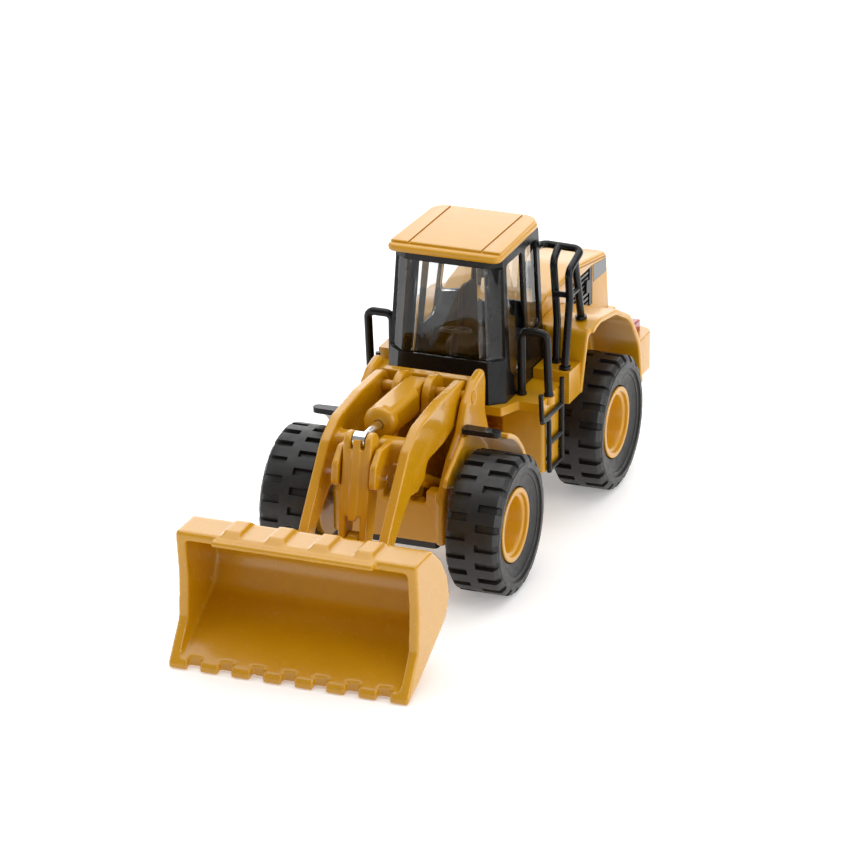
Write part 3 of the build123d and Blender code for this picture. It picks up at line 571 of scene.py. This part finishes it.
class LOADER_OT_interior(LoaderOperator, bpy.types.Operator):
    """Seat with bolsters, steering column and side console"""
    bl_idname = "loader.interior"
    bl_label = "Cab interior"

    def execute(self, context):
        sizes = context.scene.loader_sizes
        softened("steering_column", sizes.thin_edge)
        softened("side_console", sizes.thin_edge)
        low, high = (np.array(corner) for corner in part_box("operator_seat"))
        span = high - low

        def at(x, y, z):
            return low + span * np.array((x, y, z))

        def half(x, y, z):
            return span * np.array((x, y, z)) / 2

        blocks = [
            (at(0.5, 0.38, 0.10), half(0.62, 0.5, 0.2)),      # plinth
            (at(0.5, 0.40, 0.26), half(0.78, 0.76, 0.14)),    # cushion
            (at(0.08, 0.40, 0.28), half(0.16, 0.74, 0.15)),   # cushion bolsters
            (at(0.92, 0.40, 0.28), half(0.16, 0.74, 0.15)),
            (at(0.5, 0.84, 0.58), half(0.76, 0.22, 0.56)),    # backrest
            (at(0.09, 0.80, 0.56), half(0.17, 0.3, 0.5)),     # back bolsters
            (at(0.91, 0.80, 0.56), half(0.17, 0.3, 0.5)),
            (at(0.5, 0.9, 0.92), half(0.52, 0.18, 0.15)),     # headrest
        ]
        points, faces, first = [], [], 0
        for centre, extent in blocks:
            grid = superellipsoid(centre, extent, 0.42)
            points.append(grid.reshape(-1, 3))
            faces.append(grid_faces(*grid.shape[:2], False, True, first))
            first += len(points[-1])
        mesh = new_mesh("seat_cushions", np.concatenate(points), np.concatenate(faces), 60.0)
        add_piece("seat_cushions", mesh, "interior_plastic", BODY_OF["operator_seat"],
                  ("operator_seat",))
        return {"FINISHED"}


class LOADER_OT_rails(LoaderOperator, bpy.types.Operator):
    """Ladders, hoops, guard rail and the stacks on the hood"""
    bl_idname = "loader.rails"
    bl_label = "Rails and stacks"

    def execute(self, context):
        edge = context.scene.loader_sizes.thin_edge
        for node in ("ladder_left", "ladder_right", "grab_hoops", "guard_rail", "precleaner",
                     "exhaust_stack"):
            softened(node, edge)
        return {"FINISHED"}


class LOADER_OT_labels(LoaderOperator, bpy.types.Operator):
    """Plain label plates on the sides of the hood"""
    bl_idname = "loader.labels"
    bl_label = "Label plates"

    def execute(self, context):
        low, high = (np.array(corner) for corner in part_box("engine_hood"))
        proud = context.scene.loader_sizes.label_proud
        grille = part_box("hood_grille_left")
        front, rear = grille[1][1] + 0.45 * MM, high[1] - 2.6 * MM
        top_front, top_rear = grille[1][2] - 0.05 * MM, grille[1][2] - 1.0 * MM
        low_edge = grille[1][2] - 3.6 * MM
        outline = np.array([(front, low_edge + 0.1 * MM), (rear + 0.4 * MM, low_edge),
                            (rear, top_rear), (front, top_front)])
        for word, side in (("left", 1.0), ("right", -1.0)):
            x = side * high[0]
            inner = np.column_stack([np.full(4, x - side * 0.05 * MM), outline])
            outer = np.column_stack([np.full(4, x + side * proud), outline])
            faces = [(0, 1, 2, 3), (4, 5, 6, 7)] + [(i, (i + 1) % 4, (i + 1) % 4 + 4, i + 4)
                                                    for i in range(4)]
            mesh = new_mesh(f"hood_label_{word}", np.concatenate([inner, outer]), faces)
            add_piece(f"hood_label_{word}", mesh, "black_plastic", "rear_frame",
                      finish="label")
        return {"FINISHED"}


class LOADER_OT_stage(LoaderOperator, bpy.types.Operator):
    """Pale floor, soft studio lights and the camera"""
    bl_idname = "loader.stage"
    bl_label = "Studio"

    def execute(self, context):
        scene = context.scene
        reach = np.linspace(-FLOOR_REACH, FLOOR_REACH, 13)
        gx, gy = np.meshgrid(reach, reach, indexing="ij")
        points = np.stack([gx, gy, np.full_like(gx, CAD_BOX[0][2])], axis=-1)
        mesh = bpy.data.meshes.new("studio_floor")
        mesh.from_pydata(points.reshape(-1, 3), [], grid_faces(13, 13, False, False)[:, ::-1])
        floor = bpy.data.objects.new("studio_floor", mesh)
        scene.collection.objects.link(floor)
        pale = tuple(scene.loader_colours.floor)
        mesh.materials.append(surface_finish(
            "pale_floor", pale, tuple(0.99 * v for v in pale), 0.55, 0.03, mottle=9.0,
            grain=300.0, relief=0.01, Emission_Color=(1.0, 1.0, 1.0, 1.0),
            Emission_Strength=0.27))

        world = bpy.data.worlds.new("studio")
        scene.world = world
        world.use_nodes = True
        background = world.node_tree.nodes["Background"]
        background.inputs["Color"].default_value = (1, 1, 1, 1)
        background.inputs["Strength"].default_value = WORLD_STRENGTH
        for softbox in SOFTBOXES:
            self.softbox(*softbox)
        scene.view_settings.view_transform = "Standard"
        self.camera(scene)
        return {"FINISHED"}

    @staticmethod
    def softbox(name, place, target, width, height, power):
        """A rectangular light at a place, turned to its target."""
        light = bpy.data.lights.new(name, "AREA")
        light.shape = "RECTANGLE"
        light.size, light.size_y, light.energy = width, height, power
        lamp = bpy.data.objects.new(name, light)
        lamp.location = place
        aim = Vector(target) - Vector(place)
        lamp.rotation_euler = aim.to_track_quat("-Z", "Y").to_euler()
        bpy.context.scene.collection.objects.link(lamp)

    @staticmethod
    def camera(scene):
        """The camera, aimed by its azimuth, elevation and roll."""
        azimuth, elevation, roll = (math.radians(v) for v in CAMERA_DEGREES)
        forward = Vector((-math.sin(azimuth) * math.cos(elevation),
                          math.cos(azimuth) * math.cos(elevation), -math.sin(elevation)))
        right = forward.cross(Vector((0, 0, 1))).normalized()
        up = right.cross(forward)
        tilted = right * math.cos(roll) + up * math.sin(roll)
        upward = tilted.cross(forward)
        data = bpy.data.cameras.new("studio_camera")
        data.lens, data.sensor_width = CAMERA_LENS, 36.0
        data.clip_start, data.clip_end = 0.02, 20.0
        camera = bpy.data.objects.new("studio_camera", data)
        camera.matrix_world = Matrix.Translation(CAMERA_PLACE) @ Matrix(
            (tilted, upward, -forward)).transposed().to_4x4()
        scene.collection.objects.link(camera)
        scene.camera = camera


STEPS = (LOADER_OT_materials, LOADER_OT_tyres, LOADER_OT_hubs, LOADER_OT_bucket,
         LOADER_OT_linkage, LOADER_OT_cylinders, LOADER_OT_front_body, LOADER_OT_rear_body,
         LOADER_OT_cab, LOADER_OT_interior, LOADER_OT_rails, LOADER_OT_labels,
         LOADER_OT_stage)


class LOADER_PT_build(bpy.types.Panel):
    """The steps of the build and their settings"""
    bl_idname = "LOADER_PT_build"
    bl_label = "Toy front loader"
    bl_space_type = "VIEW_3D"
    bl_region_type = "UI"
    bl_category = "Loader"

    def draw(self, context):
        layout = self.layout
        for group in (context.scene.loader_sizes, context.scene.loader_colours):
            box = layout.box()
            for key in group.__annotations__:
                box.prop(group, key)
        for step in STEPS:
            layout.operator(step.bl_idname)


CLASSES = (LoaderSizes, LoaderColours, *STEPS, LOADER_PT_build)


def register():
    for cls in CLASSES:
        bpy.utils.register_class(cls)
    bpy.types.Scene.loader_sizes = bpy.props.PointerProperty(type=LoaderSizes)
    bpy.types.Scene.loader_colours = bpy.props.PointerProperty(type=LoaderColours)


def unregister():
    del bpy.types.Scene.loader_colours
    del bpy.types.Scene.loader_sizes
    for cls in reversed(CLASSES):
        bpy.utils.unregister_class(cls)


def main():
    register()
    for step in STEPS:
        group, name = step.bl_idname.split(".")
        getattr(getattr(bpy.ops, group), name)()


if __name__ == "__main__":
    main()
